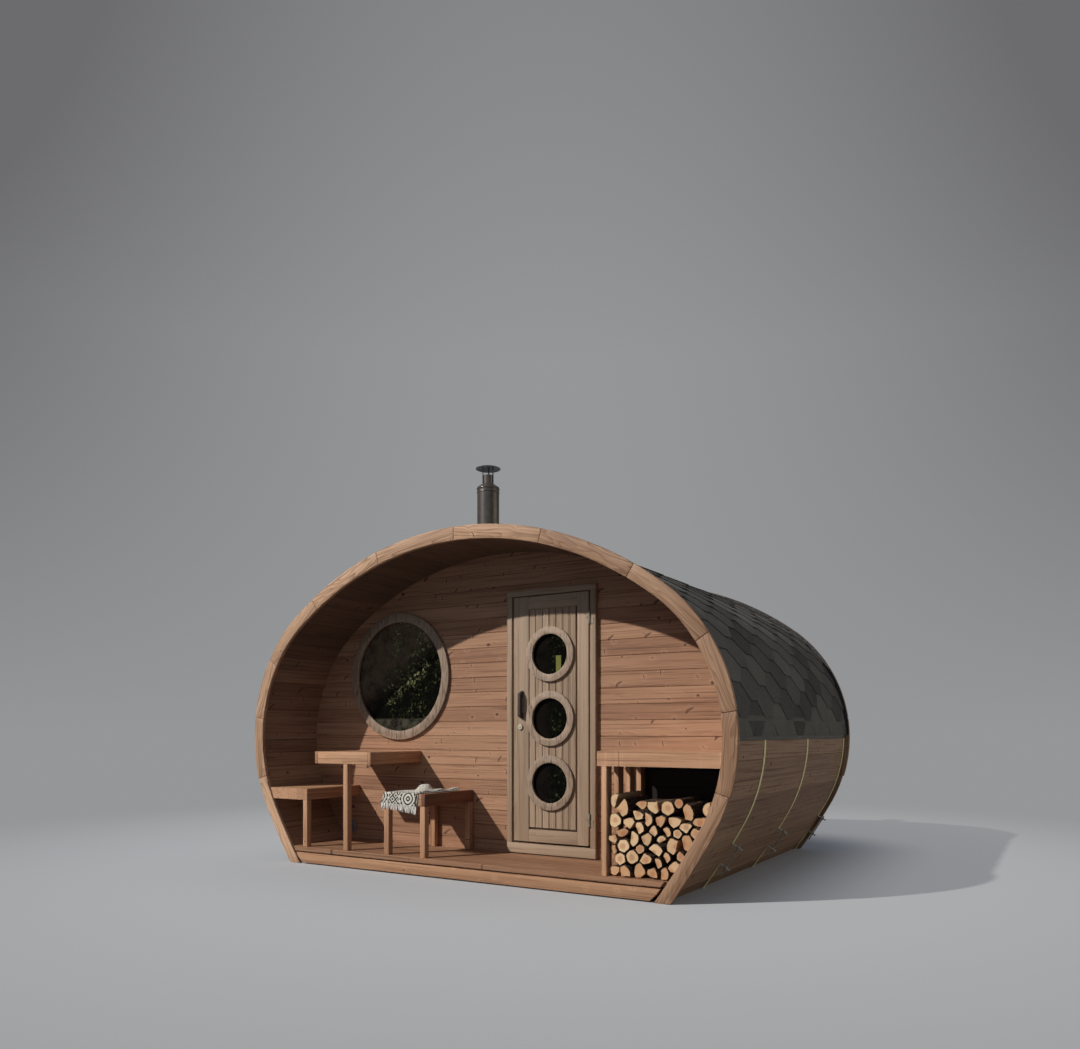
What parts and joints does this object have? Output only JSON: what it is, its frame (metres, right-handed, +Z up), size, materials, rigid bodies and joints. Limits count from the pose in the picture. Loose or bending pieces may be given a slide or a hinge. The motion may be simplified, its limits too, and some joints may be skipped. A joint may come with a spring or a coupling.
{
  "type": "outdoor sauna",
  "caption": "Oval timber barrel sauna with an open porch, a hinged door with round panes, a round window, porch bench and table, a wood store and a shingled roof.",
  "frame": {"origin": "on the ground, under the middle of the building's plan", "axes": "+Z up, -Y is the porch side, +X to the right of someone who faces the door from outside"},
  "size_m": [3.9998, 2.84, 3.437],
  "materials": {
    "stave_wood": "planed heat-treated softwood, oiled",
    "rim_wood": "planed heat-treated softwood, oiled",
    "door_wood": "planed heat-treated softwood, matt",
    "beam_wood": "sawn heat-treated softwood",
    "handle_wood": "dark stained hardwood",
    "firewood": "split logs with bark",
    "bitumen_shingle": "mineral-faced bitumen shingles",
    "zinc_steel": "zinc plated",
    "dark_metal": "dark grey, satin",
    "dark_glass": "tinted",
    "towel_cotton": "woven cotton with a dark traditional pattern"
  },
  "bodies": {
    "building": {"band_tensioners": "zinc_steel", "bands": "zinc_steel", "base_beams": "beam_wood", "bench_left_seat": "stave_wood", "bench_right_seat": "stave_wood", "chimney_cowl": "dark_metal", "chimney_flashing": "dark_metal", "chimney_pipe": "dark_metal", "door_head": "door_wood", "door_jamb_left": "door_wood", "door_jamb_right": "door_wood", "door_sill": "door_wood", "firewood": "firewood", "front_rim": "rim_wood", "front_wall_left": "stave_wood", "front_wall_over_door": "stave_wood", "front_wall_right": "stave_wood", "furniture_legs": "stave_wood", "hinges_on_frame": "zinc_steel", "porch_deck": "stave_wood", "rear_rim": "rim_wood", "rear_wall": "stave_wood", "roof_edge_strips": "dark_metal", "roofing_left": "bitumen_shingle", "roofing_right": "bitumen_shingle", "room_floor": "stave_wood", "shell_base_left": "stave_wood", "shell_base_right": "stave_wood", "shell_crown": "stave_wood", "shell_side_left": "stave_wood", "shell_side_right": "stave_wood", "table_top": "stave_wood", "towel": "towel_cotton", "wall_vent": "stave_wood", "window_glass": "dark_glass", "window_ring": "door_wood", "wood_store_battens": "stave_wood", "wood_store_counter": "stave_wood"},
    "door": {"door_leaf": "door_wood", "door_panel": "door_wood", "door_rings": "door_wood", "door_glass": "dark_glass", "door_handles": "handle_wood", "hinges_and_lock_on_door": "zinc_steel"}
  },
  "joints": [
    {"name": "door_hinge", "type": "hinge", "parent": "building", "child": "door", "pos_m": [0.7565, -0.876, 1.1], "axis": [0, 0, 1], "range_deg": [0, 100]}
  ]
}
